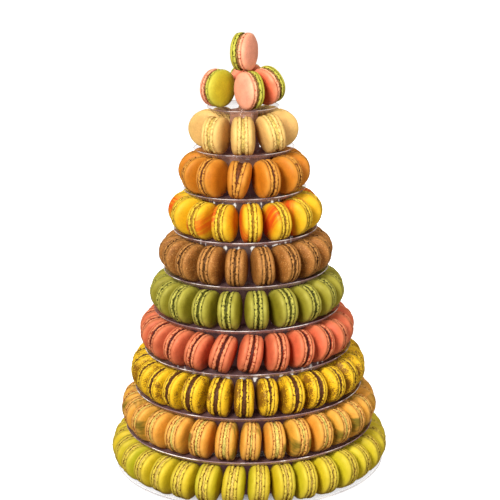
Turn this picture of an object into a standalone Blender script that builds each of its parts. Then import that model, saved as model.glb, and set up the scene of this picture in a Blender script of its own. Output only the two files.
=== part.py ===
"""Macaron tower: ten stacked clear trays, each with a ring of macarons standing on edge.

The tower stands on the plane z = 0 with its axis on Z and its front toward -Y.
Tray 1 is the smallest, at the top, and tray 10 is the base. Lengths are in metres.
"""

import math
import random

import bmesh
import bpy
from mathutils import Matrix, Vector

# Stand
TRAYS = 10
PITCH = 0.045  # from one tray's underside to the next one's
TOP_RADIUS = 0.0397  # rim of tray 1
SECOND_RADIUS = 0.0558  # rim of tray 2
RADIUS_STEP = 0.01204  # each tray below tray 2 is wider by this
FLOOR = 0.0015  # thickness of a tray's floor
RIM_HEIGHT = 0.0045  # rim above the tray's underside
LIP_RUN = 0.0030  # how far the lip slants outward
WALL = 0.0012  # thickness of the lip and the riser
RISER_INSET = 0.0385  # rim radius less the riser's radius at its foot
RISER_DRAFT = 0.0015  # the riser is narrower by this at its top
GAP = 0.0003  # between pieces that touch

# Macarons
DIAMETER = 0.0415
RING_INSET = 0.0158  # rim radius less the radius of the ring's centres
SIZE_SPREAD = 0.018  # share by which a diameter varies
INSET_SPREAD = 0.0007
LEAN_SPREAD = 2.0  # degrees
FUSE_DEPTH = 0.0006  # how far neighbours in a fused ring run into each other
THINNEST_HALF = 0.0088
THICKEST_HALF = 0.0130

# Half outlines from the middle of the filling outward: (share of radius, share of half thickness)
LOOSE_HALF = ((1.0, 0.40), (0.66, 0.86), (0.0, 1.0))
FUSED_HALF = ((1.0, 0.0), (0.80, 1.0))
LOOSE_SIDES = 10
FUSED_SIDES = 8
FEW_TRAY_SIDES = 14
TRAY_SIDES_PER_METRE = 140  # of rim radius

# How many macarons each ring holds, and the bearings in degrees of those at the front, left to right.
# The others are spread evenly behind them.
RINGS = {
    2: (8, (-105, -48, -1, 47, 100)),
    3: (12, (-67, -41, -6, 27, 56)),
    4: (14, (-43, -21, 6, 31, 56)),
    5: (18, (-48, -28, -8, 14, 33, 54)),
    6: (20, (-47, -29, -12, 7, 26, 44)),
    7: (23, (-46, -31, -15, 2, 18, 33, 48)),
    8: (27, (-53, -42, -30, -15, -2, 10, 23, 37, 50)),
    9: (30, (-49, -36, -23, -11, 1, 12, 24, 36, 48)),
    10: (33, (-41, -30, -19, -7, 4, 15, 25, 35, 46)),
}
LAST_LOOSE_RING = 4  # the rings below it are fused, one node each
RING_LEANS = {7: 8.0, 8: 4.0, 9: 4.0, 10: 4.0}  # degrees that all of a ring lean to their right
# Degrees that one macaron of a ring leans to its right
LEANS = {(2, 3): -11.0, (3, 2): 8.0, (7, 1): 12.0, (7, 2): 17.0, (7, 3): 13.0}
SWIVELS = {(2, 1): 25.0, (2, 3): -27.0}  # degrees that one is turned away from its own bearing
HALVES = {(2, 0): 0.0105, (2, 1): 0.0132, (2, 2): 0.0136, (2, 3): 0.0132, (2, 4): 0.0105}  # half thicknesses

# The five on the top tray: x and y in metres, bearing of the axis, lean, lift above the tray in metres
CROWN = (
    (-0.0272, 0.0040, -45.0, 0.0, 0.0010),
    (0.0070, -0.0115, 30.0, 0.0, 0.0),
    (0.0268, 0.0052, 45.0, -13.0, 0.0020),
    (0.0055, 0.0338, 97.0, 0.0, 0.0038),
    (0.0022, 0.0025, -24.0, 0.0, 0.0402),
)
CROWN_HALF = 0.0112

COLOURS = {  # base colour of the shells on each tray
    1: (0.80, 0.42, 0.30),
    2: (0.83, 0.62, 0.32),
    3: (0.80, 0.36, 0.05),
    4: (0.86, 0.55, 0.03),
    5: (0.34, 0.15, 0.06),
    6: (0.36, 0.36, 0.06),
    7: (0.79, 0.22, 0.12),
    8: (0.72, 0.42, 0.03),
    9: (0.79, 0.44, 0.10),
    10: (0.56, 0.53, 0.05),
}


def rim_radius(tier):
    """Radius of a tray's rim."""
    if tier == 1:
        return TOP_RADIUS
    return SECOND_RADIUS + RADIUS_STEP * (tier - 2)


def underside(tier):
    """Height of a tray's underside."""
    return (TRAYS - tier) * PITCH


def matte(name, colour, roughness):
    """A plain material of one colour."""
    material = bpy.data.materials.new(name)
    material.use_nodes = True
    shader = material.node_tree.nodes["Principled BSDF"]
    shader.inputs["Base Color"].default_value = (*colour, 1.0)
    shader.inputs["Roughness"].default_value = roughness
    shader.inputs["Metallic"].default_value = 0.0
    return material


def turned(name, profile, sides):
    """A closed mesh turned about Z from (radius, height) points; an end off the axis gets a flat cap."""
    bm = bmesh.new()
    turn = math.pi / sides
    points = [bm.verts.new((r * math.cos(turn), r * math.sin(turn), z)) for r, z in profile]
    edges = [bm.edges.new(pair) for pair in zip(points, points[1:])]
    bmesh.ops.spin(
        bm, geom=points + edges, cent=(0, 0, 0), axis=(0, 0, 1), steps=sides, angle=math.tau
    )
    bmesh.ops.remove_doubles(bm, verts=bm.verts, dist=1e-6)
    rims = [edge for edge in bm.edges if edge.is_boundary]
    if rims:
        bmesh.ops.holes_fill(bm, edges=rims)
    bmesh.ops.recalc_face_normals(bm, faces=bm.faces)
    mesh = bpy.data.meshes.new(name)
    bm.to_mesh(mesh)
    bm.free()
    return mesh


def add_object(name, mesh, material):
    """Link a mesh to the scene as an object of its own."""
    item = bpy.data.objects.new(name, mesh)
    bpy.context.scene.collection.objects.link(item)
    mesh.materials.clear()
    mesh.materials.append(material)
    return item


def add_tray(tier, material):
    """A round tray with a slanted lip and, below the top one, a riser that carries the next tray."""
    rim = rim_radius(tier)
    profile = [
        (0.0, 0.0),
        (rim - LIP_RUN, 0.0),
        (rim, RIM_HEIGHT),
        (rim - WALL, RIM_HEIGHT),
        (rim - WALL - LIP_RUN * (1 - FLOOR / RIM_HEIGHT), FLOOR),
    ]
    if tier > 1:
        foot = rim - RISER_INSET
        head = foot - RISER_DRAFT
        profile += [
            (foot, FLOOR),
            (head, PITCH - GAP),
            (head - WALL, PITCH - GAP),
            (foot - WALL, FLOOR),
        ]
    profile.append((0.0, FLOOR))
    sides = max(FEW_TRAY_SIDES, 2 * round(rim * TRAY_SIDES_PER_METRE / 2))
    tray = add_object(f"tray_{tier:02d}", turned(f"tray_{tier:02d}", profile, sides), material)
    tray.location.z = underside(tier)


def macaron_mesh(name, half_outline, sides, radius, half_left, half_right):
    """One macaron about its own axis Z, whose two halves may differ in thickness."""
    corner = radius / math.sqrt(math.cos(math.pi / sides))  # a polygon as big as the circle
    right = [(corner * r, half_right * h) for r, h in half_outline]
    left = [(corner * r, -half_left * h) for r, h in reversed(half_outline)]
    if half_outline[0][1] == 0.0:
        left.pop()
    return turned(name, left + right, sides)


def stand_up(item, centre, bearing, lean, floor):
    """Stand a macaron on edge at a bearing round the tower, leaning to its right, on a floor."""
    edge = Matrix.Rotation(math.pi / 2, 4, "Y")
    leaned = Matrix.Rotation(math.radians(lean), 4, "Y") @ edge
    turn = Matrix.Rotation(math.radians(bearing), 4, "Z") @ leaned
    lowest = min((turn @ vertex.co).z for vertex in item.data.vertices)
    item.matrix_world = Matrix.Translation(Vector((*centre, floor + GAP - lowest))) @ turn


def bearings(tier):
    """All bearings of a ring in degrees, in order, from its leftmost front macaron round."""
    count, front = RINGS[tier]
    behind = count - len(front)
    step = (360 + front[0] - front[-1]) / (behind + 1)
    return [*front, *(front[-1] + step * (place + 1) for place in range(behind))]


def half_room(ring, radius, step, half_outline, sides):
    """Half thickness at which a macaron just meets the plane halfway to its neighbour."""
    flat = radius * math.sqrt(math.cos(math.pi / sides))
    slope = math.tan(math.radians(step / 2))
    return min((ring - flat * r) * slope / h for r, h in half_outline if h)


def add_ring(tier, material):
    """A ring of macarons on edge, as separate objects or fused into one."""
    draw = random.Random(tier)
    fused = tier > LAST_LOOSE_RING
    half_outline, sides = (FUSED_HALF, FUSED_SIDES) if fused else (LOOSE_HALF, LOOSE_SIDES)
    reach = FUSE_DEPTH if fused else -1.5 * GAP
    places = bearings(tier)
    count = len(places)
    floor = underside(tier) + FLOOR
    pieces = []
    for number, bearing in enumerate(places):
        radius = DIAMETER / 2 * (1 + draw.uniform(-SIZE_SPREAD, SIZE_SPREAD))
        ring = rim_radius(tier) - RING_INSET + draw.uniform(-INSET_SPREAD, INSET_SPREAD)
        lean = RING_LEANS.get(tier, 0.0) + draw.uniform(-LEAN_SPREAD, LEAN_SPREAD)
        lean = LEANS.get((tier, number), lean)
        halves = []
        for neighbour in (number - 1, number + 1):
            step = abs(places[neighbour % count] - bearing)
            room = half_room(ring, radius, min(step, 360 - step), half_outline, sides) + reach
            halves.append(HALVES.get((tier, number), min(max(room, THINNEST_HALF), THICKEST_HALF)))
        name = f"tier_{tier:02d}_macaron_{number + 1:02d}"
        mesh = macaron_mesh(name, half_outline, sides, radius, *halves)
        item = add_object(name, mesh, material)
        turn = math.radians(bearing)
        centre = (ring * math.sin(turn), -ring * math.cos(turn))
        stand_up(item, centre, bearing + SWIVELS.get((tier, number), 0.0), lean, floor)
        pieces.append(item)
    if fused:
        fuse(f"tier_{tier:02d}_ring", pieces, material)


def fuse(name, pieces, material):
    """Join pieces that run into each other into one body, and remove them."""
    group = bpy.data.collections.new(name)
    bpy.context.scene.collection.children.link(group)
    for piece in pieces[1:]:
        group.objects.link(piece)
    union = pieces[0].modifiers.new("union", "BOOLEAN")
    union.operation = "UNION"
    union.operand_type = "COLLECTION"
    union.collection = group
    union.solver = "EXACT"
    bpy.context.view_layer.update()
    whole = pieces[0].evaluated_get(bpy.context.evaluated_depsgraph_get())
    mesh = bpy.data.meshes.new_from_object(whole)
    mesh.transform(pieces[0].matrix_world)
    mesh.name = name
    for piece in pieces:
        bpy.data.objects.remove(piece)
    bpy.data.collections.remove(group)
    add_object(name, mesh, material)


def add_crown(material):
    """Four macarons on the top tray and one on edge above them."""
    radius = DIAMETER / 2
    for number, (x, y, bearing, lean, lift) in enumerate(CROWN, 1):
        name = f"crown_macaron_{number}"
        mesh = macaron_mesh(name, LOOSE_HALF, LOOSE_SIDES, radius, CROWN_HALF, CROWN_HALF)
        item = add_object(name, mesh, material)
        stand_up(item, (x, y), bearing, lean, underside(1) + FLOOR + lift)


def build():
    """Clear the scene and build the tower."""
    for item in list(bpy.data.objects):
        bpy.data.objects.remove(item)
    clear = matte("clear_plastic", (0.86, 0.86, 0.88), 0.1)
    for tier in range(1, TRAYS + 1):
        add_tray(tier, clear)
        shell = matte(f"shell_{tier:02d}", COLOURS[tier], 0.7)
        if tier == 1:
            add_crown(shell)
        else:
            add_ring(tier, shell)


build()
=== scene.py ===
"""Dresses the macaron tower: its clear trays and the ring of macarons that stands on each."""

import math
import random

import bpy
from mathutils import Matrix, Vector


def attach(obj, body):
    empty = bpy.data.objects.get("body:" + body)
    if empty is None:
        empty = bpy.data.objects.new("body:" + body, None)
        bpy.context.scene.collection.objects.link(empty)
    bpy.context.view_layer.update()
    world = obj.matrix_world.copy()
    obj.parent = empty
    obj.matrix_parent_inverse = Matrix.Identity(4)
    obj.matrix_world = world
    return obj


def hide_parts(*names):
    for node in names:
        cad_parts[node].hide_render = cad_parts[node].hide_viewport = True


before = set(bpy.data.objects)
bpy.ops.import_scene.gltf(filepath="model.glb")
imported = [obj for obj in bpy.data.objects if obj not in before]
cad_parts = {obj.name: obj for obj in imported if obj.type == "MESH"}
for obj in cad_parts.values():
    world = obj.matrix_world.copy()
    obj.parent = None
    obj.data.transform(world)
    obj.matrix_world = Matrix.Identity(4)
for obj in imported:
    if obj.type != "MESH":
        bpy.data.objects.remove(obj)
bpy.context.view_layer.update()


# Studio: a seamless white floor and surround, one broad soft light high at the front left,
# a weaker one at the front right and one behind, and a long-lens camera that looks a little
# down on the tower.
CAMERA_PLACE = Vector((0.00465, -1.703, 0.6895))
CAMERA_DIP = math.radians(14.58)
CAMERA_ROLL = math.radians(-1.04)
LENS = 113.6
SENSOR = 36.0
FLOOR_SIZE = 14.0
AMBIENT = 0.22


class Wire:
    """A shader socket that takes part in Python expressions."""

    def __init__(self, tree, socket):
        self.tree = tree
        self.socket = socket

    def join(self, operation, other, flipped=False):
        """A Math node on this socket and another socket or number."""
        first, second = (other, self) if flipped else (self, other)
        return make_node(self.tree, "ShaderNodeMath", {"operation": operation}, {0: first, 1: second})

    def __add__(self, other):
        return self.join("ADD", other)

    def __sub__(self, other):
        return self.join("SUBTRACT", other)

    def __rsub__(self, other):
        return self.join("SUBTRACT", other, flipped=True)

    def __mul__(self, other):
        return self.join("MULTIPLY", other)

    __radd__ = __add__
    __rmul__ = __mul__


def make_node(tree, kind, settings, sockets, output=0):
    """Add a node, set it up, feed its sockets, and return one output as a wire."""
    node = tree.nodes.new(kind)
    for name, value in settings.items():
        setattr(node, name, value)
    for name, value in sockets.items():
        if isinstance(value, Wire):
            tree.links.new(value.socket, node.inputs[name])
        else:
            node.inputs[name].default_value = value
    return Wire(tree, node.outputs[output])


def add_camera():
    """Aim the camera along +Y, dipped and slightly rolled."""
    ahead = Vector((0.0, math.cos(CAMERA_DIP), -math.sin(CAMERA_DIP)))
    above = Vector((0.0, math.sin(CAMERA_DIP), math.cos(CAMERA_DIP)))
    beside = Vector((1.0, 0.0, 0.0))
    across = beside * math.cos(CAMERA_ROLL) + above * math.sin(CAMERA_ROLL)
    upward = above * math.cos(CAMERA_ROLL) - beside * math.sin(CAMERA_ROLL)
    turn = Matrix((across, upward, -ahead)).transposed().to_4x4()
    data = bpy.data.cameras.new("camera")
    data.lens = LENS
    data.sensor_width = SENSOR
    camera = bpy.data.objects.new("camera", data)
    camera.matrix_world = Matrix.Translation(CAMERA_PLACE) @ turn
    bpy.context.scene.collection.objects.link(camera)
    bpy.context.scene.camera = camera


def add_soft_light(name, place, aim, size, power):
    """A square area light at a place, aimed at a point."""
    data = bpy.data.lights.new(name, "AREA")
    data.size = size
    data.energy = power
    light = bpy.data.objects.new(name, data)
    light.location = place
    light.rotation_euler = (Vector(aim) - Vector(place)).to_track_quat("-Z", "Y").to_euler()
    bpy.context.scene.collection.objects.link(light)
    return light


def add_surround():
    """A surround that shows white but lights the tower with a weaker, warmer glow."""
    world = bpy.data.worlds.new("surround")
    world.use_nodes = True
    tree = world.node_tree
    seen = make_node(tree, "ShaderNodeLightPath", {}, {}, "Is Camera Ray")
    strength = seen * (1.0 - AMBIENT) + AMBIENT
    hue = make_node(
        tree,
        "ShaderNodeCombineColor",
        {},
        {"Red": 1.0, "Green": seen * 0.24 + 0.76, "Blue": seen * 0.42 + 0.58},
    )
    background = tree.nodes["Background"]
    tree.links.new(hue.socket, background.inputs["Color"])
    tree.links.new(strength.socket, background.inputs["Strength"])
    bpy.context.scene.world = world
    bpy.context.scene.view_settings.view_transform = "Standard"


def new_material(name, **constants):
    """A Principled material with constant sockets; returns the material, its tree and its shader."""
    material = bpy.data.materials.new(name)
    material.use_nodes = True
    shader = material.node_tree.nodes["Principled BSDF"]
    for socket, value in constants.items():
        shader.inputs[socket.replace("_", " ")].default_value = value
    return material, material.node_tree, shader


add_camera()
add_soft_light("key", (-0.70, -1.60, 1.30), (0, 0, 0.22), 0.65, 62.0)
add_soft_light("fill", (1.2, -1.3, 0.7), (0, 0, 0.22), 0.7, 17.0)
back = add_soft_light("back", (0.3, 1.6, 1.4), (0, 0, 0.2), 1.3, 30.0)
back.visible_glossy = False
add_surround()
bpy.ops.object.select_all(action="DESELECT")
bpy.ops.mesh.primitive_plane_add(size=FLOOR_SIZE, location=(0, 0, 0))
floor = bpy.context.active_object
floor.name = "floor"
paper = new_material(
    "white_paper",
    Base_Color=(0.5, 0.5, 0.5, 1.0),
    Roughness=0.9,
    Specular_IOR_Level=0.1,
    Emission_Color=(1.0, 1.0, 1.0, 1.0),
    Emission_Strength=1.0,
)
floor.data.materials.append(paper[0])
floor.visible_diffuse = False
floor.visible_glossy = False


# Trays: ten round trays of thin clear plastic, moulded with a slanted lip and a fluted
# riser, and simply stacked. Each riser carries the next smaller tray.
TRAYS = 10
PITCH = 0.045
TOP_RADIUS = 0.0397
SECOND_RADIUS = 0.0558
RADIUS_STEP = 0.01204
TRAY_FLOOR = 0.0015
RIM_HEIGHT = 0.0045
LIP_RUN = 0.0030
WALL = 0.0012
RISER_INSET = 0.0385
RISER_DRAFT = 0.0015
GAP = 0.0003
FLUTE_PITCH = 0.0150
FLUTE_DEPTH = 0.0009
STEPS_PER_FLUTE = 8
PLAIN_STEPS = 144
NECK_DROP = 0.0080
NECK_REACH = 0.0077
# The next two constants paint a shadow on the base tray: inside its ring of macarons, its tinted plastic is
# made far more opaque, where the white floor would show through.
BASE_MARGIN = 0.02
BASE_SHADE = 2.5
# How opaque each tray's tinted plastic is, pale on the top trays and darker on the lower ones: painted shade.
PAINTED_SHADES = {1: 0.3, 2: 0.3, 3: 0.6, 7: 1.2, 8: 1.5, 9: 1.9, 10: 0.15}
# Strength per tray of the white painted glints near the top of its riser.
SHINES = {4: 1.2, 5: 1.45, 8: 1.45}


def rim_radius(tier):
    """Radius of a tray's rim; tray 1 is the smallest."""
    return TOP_RADIUS if tier == 1 else SECOND_RADIUS + RADIUS_STEP * (tier - 2)


def underside(tier):
    """Height of a tray's underside."""
    return (TRAYS - tier) * PITCH


def pick(first):
    """Select one object alone and make it active."""
    bpy.ops.object.select_all(action="DESELECT")
    first.select_set(True)
    bpy.context.view_layer.objects.active = first


def turn_profile(name, points, steps):
    """Extrude a vertex along (radius, height) points and spin it into a closed round piece."""
    bpy.ops.object.select_all(action="DESELECT")
    bpy.ops.mesh.primitive_plane_add(size=0.01, location=(0, 0, 0))
    piece = bpy.context.active_object
    piece.name = name
    bpy.ops.object.mode_set(mode="EDIT")
    bpy.ops.mesh.merge(type="CENTER")
    spots = [Vector((r, 0.0, z)) for r, z in points]
    bpy.ops.transform.translate(value=spots[0])
    for near, far in zip(spots, spots[1:]):
        bpy.ops.mesh.extrude_vertices_move(TRANSFORM_OT_translate={"value": far - near})
    bpy.ops.mesh.select_all(action="SELECT")
    bpy.ops.mesh.spin(steps=steps, angle=math.tau, center=(0, 0, 0), axis=(0, 0, 1))
    bpy.ops.mesh.select_all(action="SELECT")
    bpy.ops.mesh.remove_doubles(threshold=1e-6)
    bpy.ops.mesh.normals_make_consistent(inside=False)
    bpy.ops.object.mode_set(mode="OBJECT")
    return piece


def mix_colours(tree, share, first, second):
    """A colour between two, by a share from 0 to 1."""
    return make_node(
        tree,
        "ShaderNodeMix",
        {"data_type": "RGBA", "clamp_factor": True},
        {"Factor": share, 6: first, 7: second},
        2,
    )


def clamp(wire):
    """A value kept between 0 and 1."""
    return make_node(wire.tree, "ShaderNodeClamp", {}, {"Value": wire})


def sheet_plastic():
    """The tray's flat floor: thin clear plastic, faintly brown violet, made more opaque as painted shade on
    the lower trays and inside the base tray's ring.
    """
    material, tree, shader = new_material(
        "sheet_plastic", Base_Color=(0.26, 0.14, 0.14, 1.0), Roughness=0.10, IOR=1.4
    )
    depth = make_node(tree, "ShaderNodeAttribute", {"attribute_name": "depth"}, {}, "Fac")
    opacity = depth * 0.28 + 0.06
    tree.links.new(opacity.socket, shader.inputs["Alpha"])
    return material


def lip_plastic():
    """The slanted lip, seen along its depth and so darker than the floor; the depth attribute adds painted
    shade, darker on the lower trays.
    """
    material, tree, shader = new_material(
        "lip_plastic", Base_Color=(0.46, 0.30, 0.29, 1.0), Roughness=0.08, IOR=1.5
    )
    depth = make_node(tree, "ShaderNodeAttribute", {"attribute_name": "depth"}, {}, "Fac")
    opacity = clamp(depth * 0.34 + 0.12)
    tree.links.new(opacity.socket, shader.inputs["Alpha"])
    return material


def rim_plastic():
    """The rolled edge: a painted highlight runs along it, brighter here and there and on the higher trays,
    and painted shade darkens it on the lower ones.
    """
    material, tree, shader = new_material("rim_plastic", Roughness=0.05, IOR=1.5)
    where = make_node(tree, "ShaderNodeTexCoord", {}, {}, "Object")
    glint = make_node(tree, "ShaderNodeTexNoise", {}, {"Vector": where, "Scale": 45.0, "Detail": 2.0})
    rise = make_node(tree, "ShaderNodeSeparateXYZ", {}, {"Vector": where}, "Z")
    # Painted highlight and shade: noise and height mix the edge from dark mauve to near white.
    hue = mix_colours(tree, glint * 8.0 + rise * 2.2 - 4.2, (0.30, 0.19, 0.20, 1.0), (0.94, 0.86, 0.83, 1.0))
    tree.links.new(hue.socket, shader.inputs["Base Color"])
    depth = make_node(tree, "ShaderNodeAttribute", {"attribute_name": "depth"}, {}, "Fac")
    opacity = clamp(depth * 0.35 + 0.30)
    tree.links.new(opacity.socket, shader.inputs["Alpha"])
    return material


def fluted_plastic():
    """The riser, in painted shade: dark in its flutes, with painted highlights on their crests, a peach
    painted reflection near the top, and a faint glow with white painted glints.
    """
    material, tree, shader = new_material("fluted_plastic", IOR=1.3, Roughness=0.12, Emission_Strength=0.9)
    crest_shine = make_node(tree, "ShaderNodeAttribute", {"attribute_name": "crest_shine"}, {}, "Fac")
    where = make_node(tree, "ShaderNodeTexCoord", {}, {}, "Object")
    rise = make_node(tree, "ShaderNodeSeparateXYZ", {}, {"Vector": where}, "Z")
    # Painted shade: mauve on the low risers, nearly black higher up; a peach painted reflection on the top
    # ones.
    shade_and_reflection = mix_colours(tree, rise * 8.0 - 0.6, (0.15, 0.072, 0.082, 1.0), (0.035, 0.014, 0.010, 1.0))
    shade_and_reflection = mix_colours(tree, rise * 10.0 - 3.1, shade_and_reflection, (0.42, 0.20, 0.11, 1.0))
    # Painted highlight: the crests are a little paler.
    hue = mix_colours(tree, crest_shine * 0.15, shade_and_reflection, (0.86, 0.74, 0.68, 1.0))
    tree.links.new(hue.socket, shader.inputs["Base Color"])
    # Glow: a faint mauve glow all over lifts the painted shade, and white painted glints shine where the
    # noise and the crest mask are high.
    patchy = make_node(tree, "ShaderNodeTexNoise", {}, {"Vector": where, "Scale": 150.0, "Detail": 3.0})
    sparkle = (patchy + crest_shine * 0.6 - 1.17) * 7.0
    glow = mix_colours(tree, sparkle, (0.036, 0.013, 0.013, 1.0), (0.95, 0.90, 0.82, 1.0))
    tree.links.new(glow.socket, shader.inputs["Emission Color"])
    opacity = clamp(crest_shine * 0.12 + 0.80)
    tree.links.new(opacity.socket, shader.inputs["Alpha"])
    return material


def add_tray(tier, finishes):
    """One tray, with its lip rounded and its riser fluted."""
    rim = rim_radius(tier)
    foot = rim - RISER_INSET
    lip_foot = rim - WALL - LIP_RUN * (1 - TRAY_FLOOR / RIM_HEIGHT)
    points = [
        (0.0, 0.0),
        (rim - LIP_RUN - 0.001, 0.0),
        (rim - LIP_RUN, 0.0004),
        (rim - 0.0006, RIM_HEIGHT - 0.0010),
        (rim, RIM_HEIGHT - 0.0005),
        (rim - WALL / 2, RIM_HEIGHT),
        (rim - WALL, RIM_HEIGHT - 0.0005),
        (lip_foot + 0.0003, TRAY_FLOOR + 0.0004),
        (lip_foot - 0.0006, TRAY_FLOOR),
    ]
    steps = PLAIN_STEPS
    flutes = 0
    if tier > 1:
        flutes = round(math.tau * foot / FLUTE_PITCH)
        steps = flutes * STEPS_PER_FLUTE
        head = foot - RISER_DRAFT
        points += [
            (foot + 0.0008, TRAY_FLOOR),
            (foot, TRAY_FLOOR + 0.0008),
            ((foot + head) / 2, (TRAY_FLOOR + PITCH) / 2),
            (head + 0.0002, PITCH - NECK_DROP),
            (head, PITCH - GAP - 0.0005),
            (head - WALL / 2, PITCH - GAP),
            (head - WALL, PITCH - GAP - 0.0005),
            ((foot + head) / 2 - WALL, (TRAY_FLOOR + PITCH) / 2),
            (foot - WALL, TRAY_FLOOR),
        ]
    points.append((0.0, TRAY_FLOOR))
    tray = turn_profile(f"clear_tray_{tier:02d}", points, steps)
    # Mask for the riser's painted highlights: a little on each flute crest, and a band near the riser's top,
    # where it brings the painted glints.
    crest_shine = []
    for vertex in tray.data.vertices:
        place = vertex.co
        on_riser = tier > 1 and place.z > TRAY_FLOOR + 0.0002 and place.xy.length < foot + 0.002
        wave = math.cos(flutes * math.atan2(place.y, place.x)) if on_riser else 0.0
        ridge = max(0.0, wave) ** 3
        neck = max(0.0, 1 - abs(place.z - PITCH + NECK_DROP) / NECK_REACH) if on_riser else 0.0
        crest_shine.append(0.25 * ridge + SHINES.get(tier, 0.55) * neck * (0.7 + 0.3 * ridge))
        if on_riser:
            place.xy *= 1 + FLUTE_DEPTH * (wave - 1) / place.xy.length
        place.z += underside(tier)
    # Opacity of the tinted plastic: painted shade per tray, and a painted shadow inside the base tray's ring.
    depth = []
    for vertex in tray.data.vertices:
        shaded = tier == TRAYS and vertex.co.xy.length < lip_foot - BASE_MARGIN
        depth.append(BASE_SHADE if shaded else PAINTED_SHADES.get(tier, 1.0))
    for label, values in (("crest_shine", crest_shine), ("depth", depth)):
        attribute = tray.data.attributes.new(label, "FLOAT", "POINT")
        attribute.data.foreach_set("value", values)
    for finish in finishes:
        tray.data.materials.append(finish)
    for face in tray.data.polygons:
        above = face.center.z - underside(tier)
        reach = face.center.xy.length
        if reach > lip_foot and above > RIM_HEIGHT - 0.0009:
            face.material_index = 2
        elif reach > lip_foot - 0.0004:
            face.material_index = 1
        elif tier > 1 and above > TRAY_FLOOR + 0.0002:
            face.material_index = 3
    pick(tray)
    bpy.ops.object.shade_smooth_by_angle(angle=math.radians(50))
    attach(tray, "root")
    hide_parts(f"tray_{tier:02d}")


finishes = (sheet_plastic(), lip_plastic(), rim_plastic(), fluted_plastic())
for tier in range(1, TRAYS + 1):
    add_tray(tier, finishes)


# Macarons of the crown: each is two baked almond shells with a ruffled foot, pressed on a
# filling. One shell is lime green and the other salmon pink. Four stand close together on
# the top tray, and a fifth stands on them.
DIAMETER = 0.0415
SHELL_HEIGHT = 0.0100
FOOT_HEIGHT = 0.0035
FILLING_HALF = 0.0018
DOME_STEPS = 6
DOME_POWER = 2.5
AROUND = 84
UNEVENNESS = (("ruffle", 0.0017, 0.0016), ("ruffle", 0.0040, 0.0012), ("skin", 0.010, 0.0008))
CROWN_HALF = 0.0112
CROWN_FILLING_HALF = 0.0014
# Each row gives x, y, bearing, lean, lift above the tray and bake value. The bake values give the right
# macaron's pink shell the deep red drift, painted shade, and the left one's lime shell the darker,
# orange-tinged olive drift, painted shade with a warm painted reflection; both faces turn in towards the
# front macaron.
CROWN = (
    (-0.0272, 0.0040, -45.0, 0.0, 0.0010, 0.85),
    (0.0070, -0.0115, 30.0, 0.0, 0.0, 0.62),
    (0.0268, 0.0052, 45.0, -13.0, 0.0020, 0.59),
    (0.0055, 0.0338, 97.0, 0.0, 0.0038, 0.50),
    (0.0022, 0.0025, 156.0, 0.0, 0.0402, 0.65),
)


def crease(height):
    """How close a height on a macaron is to either edge of its foot, from 0 to 1."""
    nearest = min(abs(height - FILLING_HALF), abs(height - FILLING_HALF - 0.97 * FOOT_HEIGHT))
    return max(0.0, 1.0 - nearest / (0.22 * FOOT_HEIGHT))


def model_macaron(name):
    """One macaron about Z: filling in slot 2, upper shell in slot 0, lower shell in slot 1."""
    radius = DIAMETER / 2
    foot_top = FILLING_HALF + FOOT_HEIGHT
    half = [
        (0.915 * radius, 0.0),
        (0.910 * radius, FILLING_HALF * 0.60),
        (0.880 * radius, FILLING_HALF * 0.96),
        (0.930 * radius, FILLING_HALF),
        (0.975 * radius, FILLING_HALF + FOOT_HEIGHT * 0.14),
        (0.996 * radius, FILLING_HALF + FOOT_HEIGHT * 0.38),
        (0.992 * radius, FILLING_HALF + FOOT_HEIGHT * 0.64),
        (0.978 * radius, FILLING_HALF + FOOT_HEIGHT * 0.84),
        (0.955 * radius, FILLING_HALF + FOOT_HEIGHT * 0.97),
    ]
    dome = SHELL_HEIGHT - FOOT_HEIGHT
    for step in range(DOME_STEPS + 1):
        turn = math.pi / 2 * step / DOME_STEPS
        reach = 0.0 if step == DOME_STEPS else math.cos(turn) ** (2 / DOME_POWER)
        rise = math.sin(turn) ** (2 / DOME_POWER)
        half.append((0.996 * radius * reach, foot_top + dome * (0.06 + 0.94 * rise)))
    whole = [(r, -z) for r, z in reversed(half[1:])] + half
    piece = turn_profile(name, whole, AROUND)
    mesh = piece.data
    disc = mesh.uv_layers.new(name="disc")
    for loop in mesh.loops:
        place = mesh.vertices[loop.vertex_index].co
        disc.data[loop.index].uv = (0.5 + place.x / DIAMETER, 0.5 + place.y / DIAMETER)
    on_foot = []
    on_crease = []
    on_brim = []
    for vertex in mesh.vertices:
        height = abs(vertex.co.z)
        out = vertex.co.xy.length / radius
        on_foot.append(float(out > 0.9 and FILLING_HALF <= height + 1e-6 and height < foot_top))
        on_crease.append(crease(height))
        on_brim.append(out**6)
    for label, values in (("foot", on_foot), ("crease", on_crease), ("brim", on_brim)):
        attribute = mesh.attributes.new(label, "FLOAT", "POINT")
        attribute.data.foreach_set("value", values)
    ruffle = piece.vertex_groups.new(name="ruffle")
    ruffle.add([place for place, share in enumerate(on_foot) if share], 1.0, "REPLACE")
    skin = piece.vertex_groups.new(name="skin")
    skin.add(range(len(on_foot)), 1.0, "REPLACE")
    for face in mesh.polygons:
        if abs(face.center.z) < FILLING_HALF:
            face.material_index = 2
        else:
            face.material_index = int(face.center.z < 0)
    return piece


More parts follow.
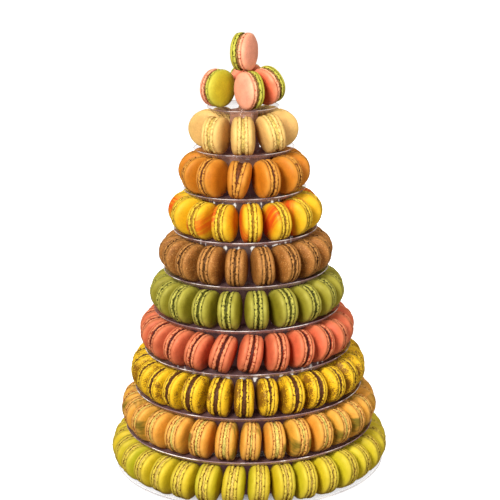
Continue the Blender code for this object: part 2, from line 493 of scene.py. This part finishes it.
def copy_macaron(model, half, filling, wedge, batch):
    """A copy with its own half thickness and half filling, opened by a wedge, with its own bake value."""
    piece = model.copy()
    piece.data = model.data.copy()
    bpy.context.scene.collection.objects.link(piece)
    stretch = (half - filling) / SHELL_HEIGHT
    for vertex in piece.data.vertices:
        height = vertex.co.z
        side = math.copysign(1.0, height)
        above = abs(height) - FILLING_HALF
        if above < 0:
            vertex.co.z *= filling / FILLING_HALF
        else:
            vertex.co.z = side * (filling + above * stretch)
        vertex.co.z += max(-1.0, min(1.0, height / FILLING_HALF)) * wedge * vertex.co.x
    bake = piece.data.attributes.new("batch", "FLOAT", "POINT")
    bakes = [batch if vertex.co.z > 0 else (batch + 0.4) % 1.0 for vertex in piece.data.vertices]
    bake.data.foreach_set("value", bakes)
    return piece


def stand_up(piece, centre, bearing, lean, swivel, roll, scale, floor_height):
    """Stand a macaron on edge at a bearing, leaning, swivelled, rolled on itself and made oval."""
    edge = Matrix.Rotation(math.pi / 2, 4, "Y") @ Matrix.Rotation(roll, 4, "Z")
    leaned = Matrix.Rotation(math.radians(lean), 4, "Y") @ edge
    turned = Matrix.Rotation(math.radians(bearing + swivel), 4, "Z") @ leaned
    turn = turned @ Matrix.Diagonal((*scale, 1.0, 1.0))
    lowest = min((turn @ vertex.co).z for vertex in piece.data.vertices)
    piece.matrix_world = Matrix.Translation(Vector((*centre, floor_height + GAP - lowest))) @ turn


def join_batch(name, pieces, finishes, nodes):
    """Join placed macarons, make each one's foot and skin uneven, and dress them."""
    pick(pieces[0])
    for piece in pieces:
        for finish in finishes:
            piece.data.materials.append(finish)
        piece.select_set(True)
    bpy.ops.object.join()
    batch = bpy.context.active_object
    batch.name = name
    pick(batch)
    bpy.ops.object.transform_apply(location=True, rotation=True, scale=True)
    for group, size, depth in UNEVENNESS:
        clouds = bpy.data.textures.new(f"{name}_{group}", "CLOUDS")
        clouds.noise_scale = size
        uneven = batch.modifiers.new(group, "DISPLACE")
        uneven.texture = clouds
        uneven.texture_coords = "LOCAL"
        uneven.vertex_group = group
        uneven.strength = depth
        bpy.ops.object.modifier_apply(modifier=group)
        bpy.data.textures.remove(clouds)
    bpy.ops.object.shade_smooth()
    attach(batch, "root")
    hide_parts(*nodes)


def tint(colour, share):
    """A colour made lighter or darker by a share."""
    return (*(min(channel * share, 1.0) for channel in colour[:3]), 1.0)


def shell_finish(name, face, foot, pit_shade, decorate=None, grain=0.6, pit_share=0.28, drift=None):
    """Baked almond shell: mottled skin with a painted highlight that pales it at its brim, and a ragged foot
    whose pits and creases are painted dark as shade.
    """
    glow = tuple(0.35 + 0.65 * channel / max(face[:3]) for channel in face[:3])
    material, tree, shader = new_material(name, Specular_IOR_Level=0.36, Specular_Tint=(*glow, 1.0))
    where = make_node(tree, "ShaderNodeTexCoord", {}, {}, "Object")
    batch = make_node(tree, "ShaderNodeAttribute", {"attribute_name": "batch"}, {}, "Fac")
    on_foot = make_node(tree, "ShaderNodeAttribute", {"attribute_name": "foot"}, {}, "Fac")
    on_crease = make_node(tree, "ShaderNodeAttribute", {"attribute_name": "crease"}, {}, "Fac")
    on_brim = make_node(tree, "ShaderNodeAttribute", {"attribute_name": "brim"}, {}, "Fac")
    soft = make_node(tree, "ShaderNodeTexNoise", {}, {"Vector": where, "Scale": 110.0, "Detail": 3.0})
    fine = make_node(
        tree, "ShaderNodeTexNoise", {}, {"Vector": where, "Scale": 620.0, "Detail": 5.0, "Roughness": 0.7}
    )
    ragged = make_node(tree, "ShaderNodeTexNoise", {}, {"Vector": where, "Scale": 420.0, "Detail": 2.5})
    cells = make_node(tree, "ShaderNodeTexVoronoi", {}, {"Vector": where, "Scale": 320.0, "Randomness": 1.0})
    shade = soft * 1.1 + fine * (2.6 * grain) - (0.05 + 1.3 * grain)
    low = 0.84 - 0.16 * grain
    high = 1.10 + 0.12 * grain
    drift = drift or tint(face, 0.86)
    deep = mix_colours(tree, batch, tint(face, low), tint(drift, low))
    pale = mix_colours(tree, batch, tint(face, high), tint(drift, high))
    skin = mix_colours(tree, shade, deep, pale)
    # Painted highlight: the skin pales towards the foot colour near its brim.
    skin = mix_colours(tree, on_brim * (soft + 0.1), skin, foot)
    if decorate:
        skin = decorate(tree, where, skin, batch, on_brim)
    rough_edge = clamp(on_foot * 1.7 + ragged - 0.95)
    crust = mix_colours(tree, ragged * 2.4 - 0.7, tint(foot, 0.66), tint(foot, 1.20))
    reach = ragged * 0.44 + on_crease * 0.40 + (pit_share - 0.21)
    holes = clamp((reach - cells) * 6.0) * rough_edge
    skin = mix_colours(tree, rough_edge, skin, crust)
    # Painted shade: the pit colour darkens both creases at the foot and fills the pits.
    skin = mix_colours(tree, on_crease * 0.7, skin, pit_shade)
    skin = mix_colours(tree, holes, skin, pit_shade)
    tree.links.new(skin.socket, shader.inputs["Base Color"])
    dull = fine * 0.12 + rough_edge * 0.35 + 0.42
    tree.links.new(dull.socket, shader.inputs["Roughness"])
    height = fine * (0.5 * grain) + soft * 0.4 - holes * 1.8 + ragged * rough_edge
    bump = make_node(tree, "ShaderNodeBump", {}, {"Height": height, "Strength": 0.7, "Distance": 0.0008})
    tree.links.new(bump.socket, shader.inputs["Normal"])
    return material


def filling_finish(name, colour, dark=0.55, roughness=0.45):
    """Soft filling, uneven at its rim and a little glossy."""
    material, tree, shader = new_material(name, Specular_IOR_Level=0.15, Roughness=roughness)
    where = make_node(tree, "ShaderNodeTexCoord", {}, {}, "Object")
    uneven = make_node(tree, "ShaderNodeTexNoise", {}, {"Vector": where, "Scale": 420.0, "Detail": 4.0})
    hue = mix_colours(tree, uneven * 3.0 - 1.0, tint(colour, dark), tint(colour, 1.15))
    tree.links.new(hue.socket, shader.inputs["Base Color"])
    bump = make_node(tree, "ShaderNodeBump", {}, {"Height": uneven, "Strength": 0.7, "Distance": 0.0008})
    tree.links.new(bump.socket, shader.inputs["Normal"])
    return material


# The drift colours are the deeper tones that some bakes lean towards; on the crown they serve as painted
# shade.
lime = shell_finish(
    "lime_shell",
    face=(0.46, 0.44, 0.02, 1),
    foot=(0.52, 0.50, 0.07, 1),
    pit_shade=(0.08, 0.07, 0.008, 1),
    drift=(0.42, 0.31, 0.012, 1),
)
pink = shell_finish(
    "pink_shell",
    face=(0.86, 0.36, 0.23, 1),
    foot=(0.84, 0.40, 0.22, 1),
    pit_shade=(0.46, 0.06, 0.03, 1),
    pit_share=0.22,
    drift=(0.62, 0.09, 0.035, 1),
)
cream = filling_finish("cream_filling", (0.34, 0.17, 0.05, 1), 0.3)
draw = random.Random(1)
model = model_macaron("macaron")
crown = []
for x, y, bearing, lean, lift, batch in CROWN:
    piece = copy_macaron(model, CROWN_HALF, CROWN_FILLING_HALF, 0.0, batch)
    floor_height = underside(1) + TRAY_FLOOR + lift
    stand_up(piece, (x, y), bearing, lean, 0.0, draw.uniform(0, math.tau), (1.0, 1.0), floor_height)
    crown.append(piece)
nodes = [f"crown_macaron_{number}" for number in range(1, len(CROWN) + 1)]
join_batch("crown_macarons", crown, (lime, pink, cream), nodes)


# Rings: on every lower tray the macarons of one flavour stand on edge side by side, with
# their domes towards each other, as close as their thickness lets them. Each leans a little.
RING_INSET = 0.0158
SIZE_SPREAD = 0.018
INSET_SPREAD = 0.0007
LEAN_SPREAD = 2.0
LAST_LOOSE_RING = 4
RINGS = {
    2: (8, (-105, -48, -1, 47, 100)),
    3: (12, (-67, -41, -6, 27, 56)),
    4: (14, (-43, -21, 6, 31, 56)),
    5: (18, (-48, -28, -8, 14, 33, 54)),
    6: (20, (-47, -29, -12, 7, 26, 44)),
    7: (23, (-46, -31, -15, 2, 18, 33, 48)),
    8: (27, (-53, -42, -30, -15, -2, 10, 23, 37, 50)),
    9: (30, (-49, -36, -23, -11, 1, 12, 24, 36, 48)),
    10: (33, (-41, -30, -19, -7, 4, 15, 25, 35, 46)),
}
RING_LEANS = {7: 8.0, 8: 4.0, 9: 4.0, 10: 4.0}
LEANS = {(2, 3): -11.0, (3, 2): 8.0, (7, 1): 12.0, (7, 2): 17.0, (7, 3): 13.0}
SWIVELS = {(2, 1): 25.0, (2, 3): -27.0}
HALVES = {(2, 0): 0.0105, (2, 1): 0.0135, (2, 2): 0.0138, (2, 3): 0.0135, (2, 4): 0.0105}
GAPING = {(3, 2): 0.10}
WIDEST_HALF = 0.0134
NARROWEST_HALF = 0.0095


def bearings(tier):
    """All bearings of a ring in degrees: those at the front, then the rest evenly behind."""
    count, front = RINGS[tier]
    behind = count - len(front)
    step = (360 + front[0] - front[-1]) / (behind + 1)
    return [*front, *(front[-1] + step * (place + 1) for place in range(behind))]


def half_room(ring, step):
    """Half thickness at which a macaron meets the plane halfway to its neighbour."""
    slope = math.tan(math.radians(step / 2))
    widest = 0.0
    for share in (0.0, 0.5, 0.66, 0.8, 0.9):
        dome = (1 - share**DOME_POWER) ** (1 / DOME_POWER)
        drop = (SHELL_HEIGHT - FOOT_HEIGHT) * (1 - dome)
        room = (ring - share * DIAMETER / 2) * slope + drop
        widest = room if share == 0.0 else min(widest, room)
    return widest


def add_ring(tier, shell, filling, thin, thick):
    """Fill one tray with its ring of macarons, whose fillings' half heights run from thin to thick."""
    draw = random.Random(tier)
    loose = random.Random(100 + tier)
    places = bearings(tier)
    count = len(places)
    pieces = []
    for number, bearing in enumerate(places):
        size = 1 + draw.uniform(-SIZE_SPREAD, SIZE_SPREAD)
        ring = rim_radius(tier) - RING_INSET + draw.uniform(-INSET_SPREAD, INSET_SPREAD)
        lean = RING_LEANS.get(tier, 0.0) + draw.uniform(-LEAN_SPREAD, LEAN_SPREAD)
        lean = LEANS.get((tier, number), lean)
        rooms = []
        for neighbour in (number - 1, number + 1):
            step = abs(places[neighbour % count] - bearing)
            room = min(half_room(ring, min(step, 360 - step)), WIDEST_HALF)
            rooms.append(HALVES.get((tier, number), room))
        half = max(sum(rooms) / 2 - GAP, NARROWEST_HALF)
        half -= loose.uniform(0.0, 0.0006)
        shift = (rooms[1] - rooms[0]) / 2
        wedge = GAPING.get((tier, number), loose.uniform(-0.03, 0.03))
        piece = copy_macaron(model, half, loose.uniform(thin, thick), wedge, loose.random())
        turn = math.radians(bearing)
        centre = (
            ring * math.sin(turn) + shift * math.cos(turn),
            -ring * math.cos(turn) + shift * math.sin(turn),
        )
        swivel = SWIVELS.get((tier, number), 0.0) + loose.uniform(-2.0, 2.0)
        oval = loose.uniform(-0.015, 0.015)
        scale = (size * (1 + oval), size * (1 - oval))
        roll = math.pi if (tier, number) in GAPING else loose.uniform(0, math.tau)
        stand_up(piece, centre, bearing, lean, swivel, roll, scale, underside(tier) + TRAY_FLOOR)
        pieces.append(piece)
    if tier > LAST_LOOSE_RING:
        nodes = [f"tier_{tier:02d}_ring"]
    else:
        nodes = [f"tier_{tier:02d}_macaron_{number + 1:02d}" for number in range(count)]
    join_batch(f"tier_{tier:02d}_macarons", pieces, (shell, shell, filling), nodes)


# Tier 2: eight vanilla macarons, pale beige shells on a thick, pale yellow custard cream.
# They are the fattest of the tower, and two of them are turned towards the front.
vanilla = shell_finish(
    "vanilla_shell",
    face=(0.66, 0.38, 0.115, 1),
    foot=(0.74, 0.52, 0.17, 1),
    pit_shade=(0.50, 0.26, 0.06, 1),
    pit_share=0.22,
)
custard = filling_finish("custard_filling", (0.66, 0.48, 0.12, 1), 0.5)
add_ring(2, vanilla, custard, 0.0014, 0.0026)


# Tier 3: twelve caramel macarons, smooth orange shells on a thin layer of dark toffee.
# The one at the front was pressed askew, so its shells gape in a wide V.
caramel = shell_finish(
    "caramel_shell", face=(0.53, 0.160, 0.008, 1), foot=(0.62, 0.28, 0.045, 1), pit_shade=(0.17, 0.04, 0.01, 1)
)
toffee = filling_finish("toffee_filling", (0.16, 0.045, 0.012, 1), 0.4)
add_ring(3, caramel, toffee, 0.0004, 0.0011)


# Tier 4: fourteen lemon macarons, bright yellow shells on lemon curd. Before filling, most
# faces were brushed once with orange food colour, which dried in fine streaks.
BRUSHED = (0.58, 0.075, 0.006, 1)


def drawn_streaks(tree, stretch):
    """Fine streaks along a shell's face, and how far across it each point lies, from 0 to 1."""
    disc = make_node(tree, "ShaderNodeUVMap", {"uv_map": "disc"}, {})
    drawn = make_node(tree, "ShaderNodeMapping", {"vector_type": "POINT"}, {"Vector": disc, "Scale": stretch})
    flat = {"noise_dimensions": "2D"}
    streaks = make_node(tree, "ShaderNodeTexNoise", flat, {"Vector": drawn, "Scale": 1.0})
    across = make_node(tree, "ShaderNodeSeparateXYZ", {}, {"Vector": disc}, "Y")
    return streaks, across


def brush(tree, where, skin, batch, on_brim):
    """A broad stroke of orange across the face, streaked along its length."""
    streaks, across = drawn_streaks(tree, (1.2, 12.0, 1.0))
    centre = across - batch * 0.3 - 0.35
    stroke = 1.3 - (centre * centre) * 11.0
    cover = clamp(stroke) * clamp(streaks * 2.6 - 0.45) * clamp(batch * 5.0 - 0.3)
    return mix_colours(tree, cover, skin, BRUSHED)


lemon = shell_finish(
    "lemon_shell",
    face=(0.72, 0.38, 0.007, 1),
    foot=(0.74, 0.50, 0.04, 1),
    pit_shade=(0.26, 0.11, 0.008, 1),
    decorate=brush,
    pit_share=0.27,
)
curd = filling_finish("curd_filling", (0.42, 0.22, 0.02, 1), 0.45)
add_ring(4, lemon, curd, 0.0006, 0.0014)


# Tier 5: eighteen cocoa macarons on a thin layer of truffle. Their almond flour was ground
# coarsely, so the brown shells are rough and full of pale grains.
FLECK = (0.55, 0.28, 0.085, 1)


def fleck(tree, where, skin, batch, on_brim):
    """Pale grains of almond all over the skin."""
    grains = make_node(tree, "ShaderNodeTexNoise", {}, {"Vector": where, "Scale": 760.0, "Detail": 3.0})
    return mix_colours(tree, (grains + on_brim * 0.05 - 0.57) * 6.0, skin, FLECK)


cocoa = shell_finish(
    "cocoa_shell",
    face=(0.25, 0.086, 0.014, 1),
    foot=(0.46, 0.21, 0.055, 1),
    pit_shade=(0.045, 0.014, 0.004, 1),
    decorate=fleck,
    grain=1.6,
)
truffle = filling_finish("truffle_filling", (0.20, 0.080, 0.018, 1), 0.3)
add_ring(5, cocoa, truffle, 0.0004, 0.0011)


# Tier 6: twenty pistachio macarons, olive green shells on a green nut cream. Their feet are
# paler than their faces and have wide pits, painted nearly black as shade.
green = shell_finish(
    "green_shell", face=(0.22, 0.186, 0.010, 1), foot=(0.44, 0.405, 0.072, 1), pit_shade=(0.030, 0.032, 0.005, 1)
)
nut = filling_finish("nut_filling", (0.10, 0.10, 0.010, 1), 0.4)
add_ring(6, green, nut, 0.0006, 0.0016)


# Tier 7: twenty-three raspberry macarons, smooth coral shells on a dark maroon jam. The
# whole ring leans to its right, most of all at the front.
coral = shell_finish(
    "coral_shell", face=(0.57, 0.100, 0.040, 1), foot=(0.70, 0.24, 0.11, 1), pit_shade=(0.30, 0.035, 0.012, 1)
)
jam = filling_finish("jam_filling", (0.095, 0.015, 0.010, 1), 0.5)
add_ring(7, coral, jam, 0.0008, 0.0016)


# Tier 8: twenty-seven golden macarons on a mocha cream of uneven thickness. The shells were
# dusted with cocoa powder, some thickly and some hardly at all.
DUST = (0.13, 0.038, 0.006, 1)


def dust(tree, where, skin, batch, on_brim):
    """Fine brown powder, thick on the middle of the face and thin towards the brim."""
    cells = make_node(tree, "ShaderNodeTexVoronoi", {}, {"Vector": where, "Scale": 900.0, "Randomness": 1.0})
    cover = make_node(tree, "ShaderNodeTexNoise", {}, {"Vector": where, "Scale": 75.0, "Detail": 3.0})
    specks = clamp((cover * 2.2 + batch * 0.75 - on_brim * 0.45 - 0.72 - cells) * 4.0)
    return mix_colours(tree, specks * 0.85, skin, DUST)


gold = shell_finish(
    "gold_shell",
    face=(0.76, 0.44, 0.008, 1),
    foot=(0.78, 0.50, 0.03, 1),
    pit_shade=(0.14, 0.055, 0.008, 1),
    decorate=dust,
    pit_share=0.31,
)
mocha = filling_finish("mocha_filling", (0.11, 0.040, 0.012, 1), 0.45)
add_ring(8, gold, mocha, 0.0004, 0.0024)


# Tier 9: thirty peach macarons, light orange shells on a pale melon cream. Olive green food
# colour is smeared over some of the faces.
OLIVE = (0.16, 0.115, 0.012, 1)


def smear(tree, where, skin, batch, on_brim):
    """A soft olive smear over a part of the face, on some shells only."""
    streaks, across = drawn_streaks(tree, (2.5, 9.0, 1.0))
    centre = across - batch * 0.2 - 0.4
    stroke = 1.4 - (centre * centre) * 14.0
    cover = clamp(stroke) * clamp(streaks * 2.8 - 0.8) * clamp(batch * 4.0 - 0.8)
    return mix_colours(tree, cover, skin, OLIVE)


peach = shell_finish(
    "peach_shell",
    face=(0.67, 0.255, 0.024, 1),
    foot=(0.72, 0.40, 0.09, 1),
    pit_shade=(0.29, 0.066, 0.013, 1),
    decorate=smear,
    drift=(0.62, 0.30, 0.028, 1),
)
melon = filling_finish("melon_filling", (0.64, 0.52, 0.12, 1), 0.6)
add_ring(9, peach, melon, 0.0008, 0.0018)


# Tier 10: thirty-three lime macarons on a pale cream, the widest ring, which stands on the
# base tray. Their shells go from yellow to yellow green and are the smoothest of all.
zest = shell_finish(
    "zest_shell",
    face=(0.57, 0.40, 0.008, 1),
    foot=(0.62, 0.48, 0.055, 1),
    pit_shade=(0.17, 0.08, 0.008, 1),
    grain=0.4,
    pit_share=0.24,
    drift=(0.43, 0.41, 0.009, 1),
)
pale = filling_finish("pale_filling", (0.66, 0.48, 0.10, 1), 0.65)
add_ring(10, zest, pale, 0.0006, 0.0016)
bpy.data.objects.remove(model)
